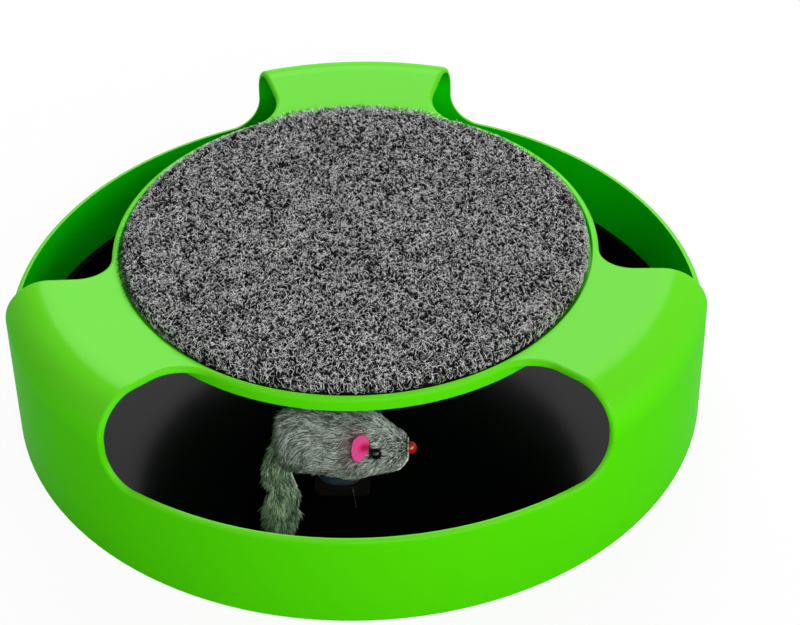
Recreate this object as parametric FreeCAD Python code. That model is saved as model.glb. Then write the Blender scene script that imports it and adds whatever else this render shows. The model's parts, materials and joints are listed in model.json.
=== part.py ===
import FreeCAD
import Part
import math
import os

# Rotating mouse cat toy, in millimetres.
# The origin is on the floor under the middle of the round housing, +Z is up and the
# mouse waits at the front, which faces -Y.

V = FreeCAD.Vector
origin = V(0, 0, 0)
up = V(0, 0, 1)

# Cover: one thin moulding with a round wall, three bridges, a ring and a carpet seat
cover_radius = 125.0
cover_height = 65.5
cover_wall = 2.0
shoulder_radius = 14.8
bridge_slope = 8.1         # degrees, down from the shoulder to the ring
edge_drop = 0.5            # the wall ends this much below the underside of the tray
ring_width = 2.4           # ring that borders the carpet seat
seat_depth = 3.2
seat_wall = 2.0
seat_edge_round = 0.7
bridge_count = 3
first_bridge = 90.0        # degrees, from +X to the bridge at the rear
window_half_angle = 42.0   # degrees, from the middle of a window to its upright edge
window_corner_radius = 11.9
neck_radius = 14.6         # inside corner between the ring and a bridge
window_edge_round = 1.4    # rounding of the outer edge all round a window
sill_height = 35.6         # from the lower edge of the wall to the sill of a window
seat_rib_count = 6
seat_rib_width = 1.6
seat_rib_height = 5.0
seat_rib_inset = 5.0       # from the seat's edge to the outer end of a rib
post_radius = 6.5
post_socket_depth = 10.0
post_spindle_gap = 0.3
boss_radius = 4.5
boss_wall_gap = 5.5        # from the boss to the inside of the wall, bridged by a web
boss_web_width = 2.0

# Carpet
carpet_radius = 83.2
carpet_gap = 0.4
carpet_thickness = 5.4
carpet_edge_round = 1.6
adhesive_thickness = 0.2
adhesive_inset = 2.0

# Tray
tray_cover_gap = 0.4
tray_wall = 2.0
tray_rim_height = 10.5
tray_edge_round = 0.6
tray_boss_radius = 9.0
tray_boss_height = 4.0
screw_pad_radius = 5.5
screw_pad_height = 5.0
screw_seat_wall = 2.2      # tray material between a screw's head and the cover's boss

# Feet
foot_count = 6
foot_radius = 7.0
foot_thickness = 2.5
foot_recess = 0.5
foot_fit = 0.1
foot_inset = 10.0          # from the edge of a foot to the outside of the tray

# Screws that hold the cover on the tray
screw_radius = 1.45
screw_length = 14.0
screw_head_radius = 3.2
screw_head_height = 2.0
screw_slot_width = 0.8
screw_slot_depth = 1.0
screw_hole_gap = 0.05
screw_pass_gap = 0.25
screw_head_gap = 0.4
screw_tip_gap = 2.0

# Spindle and what it carries
spindle_radius = 2.5
spindle_head_radius = 6.0
spindle_head_height = 1.2
spindle_head_recess = 0.2
spindle_top_gap = 2.0      # from the spindle's end to the end of the socket in the cover
fixed_fit = 0.05           # radial, between pieces that don't turn on each other
running_fit = 0.05         # radial, between pieces that turn on each other
end_play = 0.1             # axial, above and below the hub
washer_radius = 6.5
washer_thickness = 0.8
clip_radius = 5.0
clip_thickness = 0.8
clip_groove_depth = 0.5
clip_mouth_share = 0.75    # of the spindle's diameter
clip_post_gap = 3.0
bush_wall = 1.45
bush_flange_radius = 6.0
bush_flange_thickness = 1.0

# Turning arm
rest_turn = -2.6           # degrees, from the front to where the mouse waits
hub_radius = 7.5
hub_rise = 7.1             # hub above the top of the arm
arm_width = 12.0
arm_thickness = 2.3
arm_rib_width = 1.6
arm_rib_height = 3.5
arm_rib_end_gap = 1.5
platform_width = 19.0
platform_shift = -2.2      # middle of the platform, along the mouse from the arm's middle
platform_front = 10.0      # from the axis of the mouse to the front edge of the platform
platform_back = 13.0
platform_corner_radius = 2.5

# Roller under the arm
roller_radius = 4.4
roller_width = 6.0
roller_inset = 8.0         # from the axis of the mouse inwards to the middle of the roller
roller_floor_gap = 0.1
roller_headroom = 0.6
roller_side_gap = 0.3
axle_radius = 1.0
axle_overhang = 0.3
axle_bracket_wall = 2.0
axle_bracket_width = 7.0
axle_bracket_rim = 1.6

# Counterweight opposite the mouse
weight_radius = 11.0
weight_thickness = 6.0
weight_orbit = 38.0
weight_border = 2.0
weight_boss_radius = 4.0
weight_boss_depth = 4.0
weight_screw_length = 11.0

# Mouse, along X, nose towards +X
mouse_wall_gap = 55.0      # from the axis of the mouse to the inside of the wall
mouse_axis_height = 12.5   # above the top of the platform
body_belly_gap = 0.8       # between the fur and the platform
muzzle_x = 20.4            # each section of the body: place, radius, lift above the axis
muzzle_radius = 2.4
muzzle_lift = -1.1
snout_x = 19.0
snout_radius = 4.8
snout_lift = -0.9
face_x = 16.4
face_radius = 7.5
face_lift = 0.0
head_x = 11.0
head_radius = 10.2
head_lift = 1.0
chest_x = 4.0
chest_radius = 12.2
chest_lift = 0.2
waist_x = -6.0
waist_radius = 12.4
waist_lift = 0.4
hip_x = -15.0
hip_radius = 11.2
hip_lift = 1.8
rump_x = -21.0
rump_radius = 9.7
rump_lift = 2.2
rump_end_x = -24.6
rump_end_radius = 6.4
rump_end_lift = 2.4
core_half_length = 15.0
core_radius = 8.5
core_shift = -3.0
foot_half_length = 7.5
foot_half_width = 6.2
glue_thickness = 0.4
glue_border = 0.8
ear_height = 9.0
ear_width = 6.8
ear_thickness = 1.2
ear_x = 4.2
ear_angle = 34.0           # above the horizontal, seen along the body
ear_rise = 0.4             # middle of the ear above the fur
ear_flare = 24.0           # degrees, from the fur's surface
ear_lean = 15.0            # degrees, top towards the nose
ear_side_bow = 0.82        # fullness of the oval, as shares of its half width and half height
ear_end_bow = 0.62
eye_radius = 1.9
eye_x = 9.6
eye_angle = 20.0
eye_sink = 0.1
nose_radius = 2.2
nose_sink = 1.6
nose_rise = -0.4           # from the middle of the muzzle

# Fur strip tail
tail_root_x = -24.0
tail_root_drop = 5.6       # below the axis of the body
tail_root_radius = 4.6
tail_root_height = 7.0
tail_body_gap = 0.3
tail_floor_gap = 0.4
tail_width = 11.0
tail_tip_width = 12.5
tail_thickness = 5.0
tail_reach = 23.0          # from the root to the tip, outwards
tail_bend = 1.2            # of the lower part, towards the nose

# Heights and radii that follow from the sizes above
tray_under = foot_thickness - foot_recess
tray_floor = tray_under + tray_wall
cover_edge = tray_under - edge_drop
cover_top = cover_edge + cover_height
sill_top = cover_edge + sill_height
seat_radius = carpet_radius + carpet_gap
ring_radius = seat_radius + ring_width
wall_inside = cover_radius - cover_wall
shoulder_orbit = cover_radius - shoulder_radius
shoulder_height = cover_top - shoulder_radius
slope_rise = math.tan(math.radians(bridge_slope))
ring_top = shoulder_height + shoulder_radius / math.cos(math.radians(bridge_slope)) \
    - (shoulder_orbit - ring_radius) * slope_rise
seat_top = ring_top - seat_depth
seat_under = seat_top - seat_wall
tray_radius = wall_inside - tray_cover_gap
mouse_orbit = wall_inside - mouse_wall_gap
roller_track_radius = mouse_orbit - roller_inset
boss_orbit = wall_inside - boss_wall_gap - boss_radius
screw_pad_top = tray_floor + screw_pad_height
screw_seat = screw_pad_top - screw_seat_wall
foot_orbit = tray_radius - foot_inset - foot_radius
tray_boss_top = tray_floor + tray_boss_height
spindle_seat = tray_under + spindle_head_recess + spindle_head_height
rotor_bottom = tray_boss_top + washer_thickness + end_play
arm_top = tray_floor + roller_floor_gap + 2 * roller_radius + roller_headroom + arm_thickness
arm_under = arm_top - arm_thickness
hub_top = arm_top + hub_rise
clip_bottom = hub_top + end_play + washer_thickness
post_bottom = clip_bottom + clip_thickness + clip_post_gap
axle_height = tray_floor + roller_floor_gap + roller_radius
bush_radius = spindle_radius + running_fit + bush_wall
bracket_inner = roller_width / 2 + roller_side_gap
bracket_outer = bracket_inner + axle_bracket_wall
mouse_height = arm_top + mouse_axis_height


def line(a, b):
    return Part.LineSegment(a, b).toShape()


def arc(a, middle, b):
    return Part.Arc(a, middle, b).toShape()


def face(edges):
    return Part.Face(Part.Wire(edges))


def polar(radius, degrees, z=0.0):
    """Point at a radius and an angle from +X, seen from above."""
    return V(radius * math.cos(math.radians(degrees)), radius * math.sin(math.radians(degrees)), z)


def turned(edges):
    """Solid of revolution about Z of an outline in the XZ plane."""
    return face(edges).revolve(origin, up, 360)


def cylinder(radius, bottom, top, x=0.0, y=0.0):
    return Part.makeCylinder(radius, top - bottom, V(x, y, bottom))


def tube(inner, outer, bottom, top):
    return cylinder(outer, bottom, top).cut(cylinder(inner, bottom - 1, top + 1))


def block(x0, x1, y0, y1, z0, z1):
    return Part.makeBox(x1 - x0, y1 - y0, z1 - z0, V(x0, y0, z0))


def around(shape, degrees):
    """Copy of a shape, turned about Z."""
    copy = shape.copy()
    copy.rotate(origin, up, degrees)
    return copy


def ring_of(shape, count, first):
    return [around(shape, first + 360.0 * i / count) for i in range(count)]


def fused(shapes):
    return shapes[0].multiFuse(shapes[1:]).removeSplitter()


def swept_arc(centre_x, centre_z, radius, start, end):
    """Arc in the XZ plane from one angle to another."""
    points = []
    for degrees in (start, (start + end) / 2, end):
        angle = math.radians(degrees)
        points.append(V(centre_x + radius * math.cos(angle), 0, centre_z + radius * math.sin(angle)))
    return arc(points[0], points[1], points[2])


def quarter(centre_x, centre_z, radius, start):
    """Quarter arc in the XZ plane, from an angle clockwise through 90 degrees."""
    return swept_arc(centre_x, centre_z, radius, start, start - 90)


def bridge_line(start_x, radius):
    """Slope and shoulder of a bridge's section, from a place on the slope out to the wall.

    The radius is the shoulder's, outside or inside the wall. Gives the start and the two edges.
    """
    slope = math.radians(bridge_slope)
    crest = V(shoulder_orbit - radius * math.sin(slope), 0, shoulder_height + radius * math.cos(slope))
    start = V(start_x, 0, crest.z - (crest.x - start_x) * slope_rise)
    shoulder = swept_arc(shoulder_orbit, shoulder_height, radius, 90 + bridge_slope, 0)
    return start, [line(start, crest), shoulder]


def cover_outside():
    """Outer form of the cover, filled, with the carpet seat sunk into its top."""
    slope = math.radians(bridge_slope)
    round_x = seat_radius + seat_edge_round
    start, bridge = bridge_line(round_x - seat_edge_round * math.sin(slope), shoulder_radius)
    round_z = start.z - seat_edge_round * math.cos(slope)
    edges = [
        line(V(0, 0, cover_edge), V(0, 0, seat_top)),
        line(V(0, 0, seat_top), V(seat_radius, 0, seat_top)),
        line(V(seat_radius, 0, seat_top), V(seat_radius, 0, round_z)),
        swept_arc(round_x, round_z, seat_edge_round, 180, 90 + bridge_slope),
    ] + bridge + [
        line(V(cover_radius, 0, shoulder_height), V(cover_radius, 0, cover_edge)),
        line(V(cover_radius, 0, cover_edge), V(0, 0, cover_edge)),
    ]
    return around(turned(edges), first_bridge)


def cover_inside():
    """Space under the cover: inside the wall, under the bridges and under the seat."""
    below = cover_edge - 1
    start, bridge = bridge_line(ring_radius, shoulder_radius - cover_wall)
    edges = [
        line(V(0, 0, below), V(0, 0, seat_under)),
        line(V(0, 0, seat_under), V(ring_radius, 0, seat_under)),
        line(V(ring_radius, 0, seat_under), start),
    ] + bridge + [
        line(V(wall_inside, 0, shoulder_height), V(wall_inside, 0, below)),
        line(V(wall_inside, 0, below), V(0, 0, below)),
    ]
    return around(turned(edges), first_bridge)


def window_side(sign):
    """Half space on the window's side of one upright edge, with the sill corner rounded.

    The window is centred on +X and sign says which of its two upright edges is meant.
    """
    reach = 2 * cover_radius
    half = block(0, reach, -reach, 0, sill_top, cover_top + 1)
    corner = [e for e in half.Edges
              if abs(e.CenterOfMass.y) < 1e-6 and abs(e.CenterOfMass.z - sill_top) < 1e-6]
    half = half.makeFillet(window_corner_radius, corner)
    if sign < 0:
        half = half.mirror(origin, V(0, 1, 0))
    return around(half, sign * window_half_angle)


def window_cutter():
    """Cutter for a window centred on +X: it follows the ring, the two necks and the upright edges."""
    neck_orbit = ring_radius + neck_radius
    neck_turn = math.degrees(math.asin(neck_radius / neck_orbit))
    neck_angle = window_half_angle - neck_turn
    side_start = neck_orbit * math.cos(math.radians(neck_turn))
    far = 2 * cover_radius
    low = sill_top - 1

    def neck(sign):
        centre = polar(neck_orbit, sign * neck_angle, low)
        start = polar(ring_radius, sign * neck_angle, low)
        end = polar(side_start, sign * window_half_angle, low)
        bisector = (start - centre) + (end - centre)
        bisector.normalize()
        return start, centre + bisector * neck_radius, end

    left = neck(1)
    right = neck(-1)
    edges = [
        arc(right[0], polar(ring_radius, 0, low), left[0]),
        arc(left[0], left[1], left[2]),
        line(left[2], polar(far, window_half_angle, low)),
        line(polar(far, window_half_angle, low), polar(far, -window_half_angle, low)),
        line(polar(far, -window_half_angle, low), right[2]),
        arc(right[2], right[1], right[0]),
    ]
    plan = face(edges).extrude(V(0, 0, cover_top + 1 - low))
    return plan.common(window_side(1)).common(window_side(-1))


def screw_boss():
    """Boss behind a bridge, at +X, with the web that ties it to the wall."""
    boss = cylinder(boss_radius, screw_pad_top, cover_top, boss_orbit, 0)
    half = boss_web_width / 2
    web_bottom = tray_under + tray_rim_height + tray_cover_gap
    web = block(boss_orbit, wall_inside + cover_wall / 2, -half, half, web_bottom, cover_top)
    return boss.fuse(web)


def middle_of(edge):
    return edge.valueAt((edge.FirstParameter + edge.LastParameter) / 2)


def window_edges(cover, cutters):
    """Edges where the windows cut through the outer form of the cover."""
    skin = cover_outside().Shells[0]
    rims = [cutter.Shells[0] for cutter in cutters]
    found = []
    for edge in cover.Edges:
        point = Part.Vertex(middle_of(edge))
        on_rim = any(rim.distToShape(point)[0] < 1e-4 for rim in rims)
        if on_rim and skin.distToShape(point)[0] < 1e-4:
            found.append(edge)
    return found


def top_cover():
    cover = cover_outside()
    cutters = ring_of(window_cutter(), bridge_count, first_bridge + 180)
    for cutter in cutters:
        cover = cover.cut(cutter)
    cover = cover.makeFillet(min(window_edge_round, cover_wall * 0.8), window_edges(cover, cutters))
    post = cylinder(post_radius, post_bottom, cover_top)
    rib_end = seat_radius - seat_rib_inset
    half = seat_rib_width / 2
    rib = block(0, rib_end, -half, half, seat_under - seat_rib_height, cover_top)
    space = cover_inside()
    for piece in [post] + ring_of(rib, seat_rib_count, 0) + ring_of(screw_boss(), bridge_count, first_bridge):
        space = space.cut(piece)
    cover = cover.cut(space)
    socket = cylinder(spindle_radius + post_spindle_gap, post_bottom - 1, post_bottom + post_socket_depth)
    cover = cover.cut(socket)
    hole_depth = screw_length - screw_seat_wall + screw_tip_gap
    hole = cylinder(screw_radius + screw_hole_gap, screw_pad_top - 1, screw_pad_top + hole_depth,
                    boss_orbit, 0)
    for hole_copy in ring_of(hole, bridge_count, first_bridge):
        cover = cover.cut(hole_copy)
    return cover.removeSplitter()


def scratch_carpet():
    bottom = seat_top + adhesive_thickness
    top = bottom + carpet_thickness
    shoulder = quarter(carpet_radius - carpet_edge_round, top - carpet_edge_round, carpet_edge_round, 90)
    edges = [
        line(V(0, 0, bottom), V(0, 0, top)),
        line(V(0, 0, top), V(carpet_radius - carpet_edge_round, 0, top)),
        shoulder,
        line(V(carpet_radius, 0, top - carpet_edge_round), V(carpet_radius, 0, bottom)),
        line(V(carpet_radius, 0, bottom), V(0, 0, bottom)),
    ]
    return turned(edges)


def carpet_adhesive():
    return cylinder(carpet_radius - adhesive_inset, seat_top, seat_top + adhesive_thickness)


def base_tray():
    rim_top = tray_under + tray_rim_height
    inside = tray_radius - tray_wall
    edges = [
        line(V(0, 0, tray_under), V(0, 0, tray_floor)),
        line(V(0, 0, tray_floor), V(inside, 0, tray_floor)),
        line(V(inside, 0, tray_floor), V(inside, 0, rim_top - tray_edge_round)),
        quarter(inside + tray_edge_round, rim_top - tray_edge_round, tray_edge_round, 180),
        line(V(inside + tray_edge_round, 0, rim_top), V(tray_radius, 0, rim_top)),
        line(V(tray_radius, 0, rim_top), V(tray_radius, 0, tray_under)),
        line(V(tray_radius, 0, tray_under), V(0, 0, tray_under)),
    ]
    pad = cylinder(screw_pad_radius, tray_under, screw_pad_top, boss_orbit, 0)
    middle = cylinder(tray_boss_radius, tray_under, tray_boss_top)
    tray = fused([turned(edges), middle] + ring_of(pad, bridge_count, first_bridge))
    head_room = cylinder(screw_head_radius + screw_head_gap, tray_under - 1, screw_seat, boss_orbit, 0)
    pass_hole = cylinder(screw_radius + screw_pass_gap, tray_under - 1, screw_pad_top + 1, boss_orbit, 0)
    recess = cylinder(foot_radius + foot_fit, tray_under - 1, tray_under + foot_recess, foot_orbit, 0)
    cutters = ring_of(head_room, bridge_count, first_bridge) + ring_of(pass_hole, bridge_count, first_bridge)
    cutters += ring_of(recess, foot_count, 0)
    cutters.append(cylinder(spindle_head_radius + foot_fit, tray_under - 1, spindle_seat))
    cutters.append(cylinder(spindle_radius + fixed_fit, tray_under - 1, tray_boss_top + 1))
    for cutter in cutters:
        tray = tray.cut(cutter)
    return tray


def rubber_foot(index):
    foot = cylinder(foot_radius, 0, foot_thickness, foot_orbit, 0)
    return around(foot, 360.0 * index / foot_count)


def cover_screws():
    head = cylinder(screw_head_radius, screw_seat - screw_head_height, screw_seat, boss_orbit, 0)
    head_bottom = screw_seat - screw_head_height
    half = screw_slot_width / 2
    slot = block(boss_orbit - screw_head_radius, boss_orbit + screw_head_radius, -half, half,
                 head_bottom - 1, head_bottom + screw_slot_depth)
    shank = cylinder(screw_radius, screw_seat, screw_seat + screw_length, boss_orbit, 0)
    screw = head.cut(slot).fuse(shank)
    return Part.makeCompound(ring_of(screw, bridge_count, first_bridge))


def spindle():
    head = cylinder(spindle_head_radius, spindle_seat - spindle_head_height, spindle_seat)
    top = post_bottom + post_socket_depth - spindle_top_gap
    shaft = cylinder(spindle_radius, spindle_seat, top)
    groove = tube(spindle_radius - clip_groove_depth, spindle_radius + 1,
                  clip_bottom, clip_bottom + clip_thickness)
    return head.fuse(shaft).cut(groove)


def thrust_washer():
    return tube(spindle_radius + fixed_fit, washer_radius, tray_boss_top, tray_boss_top + washer_thickness)


def top_washer():
    return tube(spindle_radius + fixed_fit, washer_radius, clip_bottom - washer_thickness, clip_bottom)


def spindle_clip():
    inner = spindle_radius - clip_groove_depth + fixed_fit
    ring = tube(inner, clip_radius, clip_bottom, clip_bottom + clip_thickness)
    half = spindle_radius * clip_mouth_share
    mouth = block(0, clip_radius + 1, -half, half, clip_bottom - 1, clip_bottom + clip_thickness + 1)
    return ring.cut(mouth)


def hub_bush():
    inner = spindle_radius + running_fit
    flange = tube(inner, bush_flange_radius, rotor_bottom, rotor_bottom + bush_flange_thickness)
    sleeve = tube(inner, bush_radius, rotor_bottom, hub_top)
    return flange.fuse(sleeve).removeSplitter()


def axle_bracket(side):
    """One of the two ears that carry the roller's axle, under the arm at -Y."""
    near = -roller_track_radius + side * bracket_inner
    far = -roller_track_radius + side * bracket_outer
    half = axle_bracket_width / 2
    return block(-half, half, min(near, far), max(near, far), axle_height, arm_under)


def axle_eye(side):
    """Round lower end of an ear."""
    near = -roller_track_radius + side * bracket_inner
    far = -roller_track_radius + side * bracket_outer
    return Part.makeCylinder(axle_radius + axle_bracket_rim, axle_bracket_wall,
                             V(0, min(near, far), axle_height), V(0, 1, 0))


def rotor_arm():
    hub = cylinder(hub_radius, rotor_bottom + bush_flange_thickness, hub_top)
    half = arm_width / 2
    bar = block(-half, half, -mouse_orbit, weight_orbit, arm_under, arm_top)
    half = platform_width / 2
    platform = block(platform_shift - half, platform_shift + half, -mouse_orbit - platform_front,
                     -mouse_orbit + platform_back, arm_under, arm_top)
    corners = [e for e in platform.Edges if abs(e.tangentAt(e.FirstParameter).z) > 0.9]
    platform = platform.makeFillet(platform_corner_radius, corners)
    holder = cylinder(weight_radius + weight_border, arm_under, arm_top, 0, weight_orbit)
    boss = cylinder(weight_boss_radius, arm_under - weight_boss_depth, arm_under, 0, weight_orbit)
    pieces = [hub, bar, platform, holder, boss]
    rib_end = -roller_track_radius + bracket_outer + arm_rib_end_gap
    for side in (-1, 1):
        outer = side * arm_width / 2
        inner = outer - side * arm_rib_width
        pieces.append(block(min(inner, outer), max(inner, outer), rib_end, weight_orbit - weight_radius,
                            arm_under - arm_rib_height, arm_under))
        pieces.append(axle_bracket(side))
        pieces.append(axle_eye(side))
    arm = fused(pieces)
    arm = arm.cut(cylinder(bush_radius + fixed_fit, rotor_bottom, hub_top + 1))
    arm = arm.cut(cylinder(screw_radius + screw_hole_gap, arm_under - weight_boss_depth - 1, arm_top + 1,
                           0, weight_orbit))
    bore = Part.makeCylinder(axle_radius + fixed_fit, 2 * bracket_outer + 2,
                             V(0, -roller_track_radius - bracket_outer - 1, axle_height), V(0, 1, 0))
    return arm.cut(bore).removeSplitter()


def counterweight():
    weight = cylinder(weight_radius, arm_top, arm_top + weight_thickness, 0, weight_orbit)
    return weight.cut(cylinder(screw_radius + screw_pass_gap, arm_top - 1, arm_top + weight_thickness + 1,
                               0, weight_orbit))


def counterweight_screw():
    seat = arm_top + weight_thickness
    head = cylinder(screw_head_radius, seat, seat + screw_head_height, 0, weight_orbit)
    shank = cylinder(screw_radius, seat - weight_screw_length, seat, 0, weight_orbit)
    return head.fuse(shank)


def roller_axle():
    half = bracket_outer + axle_overhang
    start = V(0, -roller_track_radius - half, axle_height)
    return Part.makeCylinder(axle_radius, 2 * half, start, V(0, 1, 0))


def support_roller():
    start = V(0, -roller_track_radius - roller_width / 2, axle_height)
    wheel = Part.makeCylinder(roller_radius, roller_width, start, V(0, 1, 0))
    return wheel.cut(Part.makeCylinder(axle_radius + running_fit, roller_width, start, V(0, 1, 0)))


def body_sections():
    """Sections of the mouse's body from the muzzle to the rump: place, radius, lift."""
    return [(muzzle_x, muzzle_radius, muzzle_lift), (snout_x, snout_radius, snout_lift),
            (face_x, face_radius, face_lift), (head_x, head_radius, head_lift),
            (chest_x, chest_radius, chest_lift), (waist_x, waist_radius, waist_lift),
            (hip_x, hip_radius, hip_lift), (rump_x, rump_radius, rump_lift),
            (rump_end_x, rump_end_radius, rump_end_lift)]


def section_at(x):
    """Radius and lift of the body at x, between the sections next to it."""
    sections = sorted(body_sections())
    for (x0, r0, lift0), (x1, r1, lift1) in zip(sections, sections[1:]):
        if x0 <= x <= x1:
            share = (x - x0) / (x1 - x0)
            return r0 + (r1 - r0) * share, lift0 + (lift1 - lift0) * share
    return sections[-1][1:]


def round_section(x, radius, lift):
    """Round section of the body in the YZ plane, from four quarter arcs."""
    centre = V(x, -mouse_orbit, mouse_height + lift)
    points = [centre + V(0, radius * math.cos(a * math.pi / 4), radius * math.sin(a * math.pi / 4))
              for a in range(8)]
    return Part.Wire([arc(points[i], points[i + 1], points[(i + 2) % 8]) for i in range(0, 8, 2)])


def core_foot(border, bottom, top):
    """Oval pedestal of the pod, grown by a border."""
    half = foot_half_length - foot_half_width
    radius = foot_half_width + border
    middle = block(core_shift - half, core_shift + half, -mouse_orbit - radius, -mouse_orbit + radius,
                   bottom, top)
    ends = [cylinder(radius, bottom, top, core_shift + s * half, -mouse_orbit) for s in (-1, 1)]
    return fused([middle] + ends)


def core_pod():
    """Capsule of the pod: two quarter arcs and a line, turned about the axis of the body."""
    straight = core_half_length - core_radius
    slant = core_radius * math.sqrt(0.5)
    edges = [
        arc(V(-core_half_length, 0, 0), V(-straight - slant, 0, slant), V(-straight, 0, core_radius)),
        line(V(-straight, 0, core_radius), V(straight, 0, core_radius)),
        arc(V(straight, 0, core_radius), V(straight + slant, 0, slant), V(core_half_length, 0, 0)),
        line(V(core_half_length, 0, 0), V(-core_half_length, 0, 0)),
    ]
    pod = face(edges).revolve(origin, V(1, 0, 0), 360)
    pod.translate(V(core_shift, -mouse_orbit, mouse_height))
    return pod


def mouse_core():
    bottom = arm_top + glue_thickness
    return core_pod().fuse(core_foot(0, bottom, mouse_height)).removeSplitter()


def core_glue():
    return core_foot(glue_border, arm_top, arm_top + glue_thickness)


def tail_root(gap):
    """Upright round end of the tail, which turns in a hollow of the rump."""
    middle = mouse_height - tail_root_drop
    half = tail_root_height / 2 + gap
    return cylinder(tail_root_radius + gap, middle - half, middle + half, tail_root_x, -mouse_orbit)


def mouse_body_outside():
    return Part.makeLoft([round_section(*section) for section in body_sections()], True, False)


def mouse_body():
    fur = mouse_body_outside()
    reach = 2 * mouse_orbit
    below = block(-reach, reach, -reach, reach, -reach, arm_top + body_belly_gap)
    fur = fur.cut(below).cut(core_pod())
    fur = fur.cut(core_foot(tail_body_gap, arm_top, mouse_height))
    return fur.cut(tail_root(tail_body_gap))


def on_fur(x, degrees, rise, side):
    """Point over the fur at x and an angle above the horizontal, on one side."""
    radius, lift = section_at(x)
    radius += rise
    angle = math.radians(degrees)
    return V(x, -mouse_orbit + side * radius * math.cos(angle),
             mouse_height + lift + radius * math.sin(angle))


def mouse_ear(side):
    """Felt oval on one side of the head: side is -1 outwards and 1 towards the hub."""
    half_width = ear_width / 2
    half_height = ear_height / 2
    left = V(-half_width, 0, 0)
    right = V(half_width, 0, 0)
    bow = half_width * ear_side_bow
    rise = half_height * ear_end_bow
    top = V(0, half_height, 0)
    bottom = V(0, -half_height, 0)
    edges = [arc(right, V(bow, rise, 0), top), arc(top, V(-bow, rise, 0), left),
             arc(left, V(-bow, -rise, 0), bottom), arc(bottom, V(bow, -rise, 0), right)]
    ear = face(edges).extrude(V(0, 0, ear_thickness))
    ear.translate(V(0, 0, -ear_thickness / 2))
    ear.rotate(origin, up, -ear_lean)
    ear.rotate(origin, V(0, 1, 0), ear_flare)
    ear.rotate(origin, V(1, 0, 0), 90 - ear_angle)
    if side > 0:
        ear = ear.mirror(origin, V(0, 1, 0))
    ear.translate(on_fur(ear_x, ear_angle, ear_rise, side))
    return ear.cut(mouse_body_outside())


def mouse_eye(side):
    eye = Part.makeSphere(eye_radius, on_fur(eye_x, eye_angle, -eye_sink, side))
    return eye.cut(mouse_body_outside())


def mouse_nose():
    middle = mouse_height + muzzle_lift + nose_rise
    tip = V(muzzle_x + nose_radius - nose_sink, -mouse_orbit, middle)
    return Part.makeSphere(nose_radius, tip).cut(mouse_body_outside())


def strip_section(centre, width, thickness, tilt):
    """Flat oval across the tail, leaning back by tilt degrees, from four arcs."""
    half = width / 2
    edge = 0.4 * thickness
    shoulder = 0.3 * thickness
    points = [
        V(half - edge, shoulder, 0),
        V(half, 0, 0),
        V(half - edge, -shoulder, 0),
        V(0, -thickness / 2, 0),
        V(edge - half, -shoulder, 0),
        V(-half, 0, 0),
        V(edge - half, shoulder, 0),
        V(0, thickness / 2, 0),
    ]
    wire = Part.Wire([arc(points[i], points[i + 1], points[(i + 2) % 8]) for i in range(0, 8, 2)])
    wire.rotate(origin, V(1, 0, 0), tilt)
    wire.translate(centre)
    return wire


def mouse_tail():
    low = tray_floor + tail_floor_gap + tail_thickness / 2
    root_z = mouse_height - tail_root_drop
    fall = root_z - low
    steps = [(0.0, 0.12, 0.7, -20, 0.0), (0.2, 0.42, 0.76, -40, 0.0), (0.5, 0.66, 0.74, -50, 1.0),
             (0.8, 0.88, 0.9, -62, 1.0)]
    sections = []
    for out, down, swell, tilt, aside in steps:
        width = (tail_width + (tail_tip_width - tail_width) * out) * swell
        centre = V(tail_root_x + aside * tail_bend, -mouse_orbit - out * tail_reach, root_z - down * fall)
        sections.append(strip_section(centre, width, tail_thickness, tilt))
    tip = V(tail_root_x + tail_bend, -mouse_orbit - tail_reach, low)
    sections.append(strip_section(tip, tail_tip_width * 0.8, tail_thickness * 0.8, -78))
    strip = Part.makeLoft(sections, True, False)
    return strip.fuse(tail_root(0))


fixed_nodes = {
    "top_cover": top_cover(),
    "scratch_carpet": scratch_carpet(),
    "carpet_adhesive": carpet_adhesive(),
    "base_tray": base_tray(),
    "cover_screws": cover_screws(),
    "spindle": spindle(),
    "thrust_washer": thrust_washer(),
    "top_washer": top_washer(),
    "spindle_clip": spindle_clip(),
}
for foot_index in range(foot_count):
    fixed_nodes["rubber_foot_" + str(foot_index + 1)] = rubber_foot(foot_index)

turning_nodes = {
    "rotor_arm": rotor_arm(),
    "hub_bush": hub_bush(),
    "counterweight": counterweight(),
    "counterweight_screw": counterweight_screw(),
    "roller_axle": roller_axle(),
    "support_roller": support_roller(),
    "core_glue": core_glue(),
    "mouse_core": mouse_core(),
    "mouse_body": mouse_body(),
    "mouse_ear_left": mouse_ear(1),
    "mouse_ear_right": mouse_ear(-1),
    "mouse_eye_left": mouse_eye(1),
    "mouse_eye_right": mouse_eye(-1),
    "mouse_nose": mouse_nose(),
    "mouse_tail": mouse_tail(),
}

os.makedirs("parts", exist_ok=True)
for name, shape in fixed_nodes.items():
    shape.exportStep("parts/" + name + ".step")
for name, shape in turning_nodes.items():
    around(shape, rest_turn).exportStep("parts/" + name + ".step")
for name, shape in list(fixed_nodes.items()) + list(turning_nodes.items()):
    print(name, len(shape.Solids), "solids", round(shape.Volume, 1), "mm3, valid", shape.isValid())
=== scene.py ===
import bpy
import json
import math
import numpy as np
from mathutils import Matrix, Vector


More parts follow.
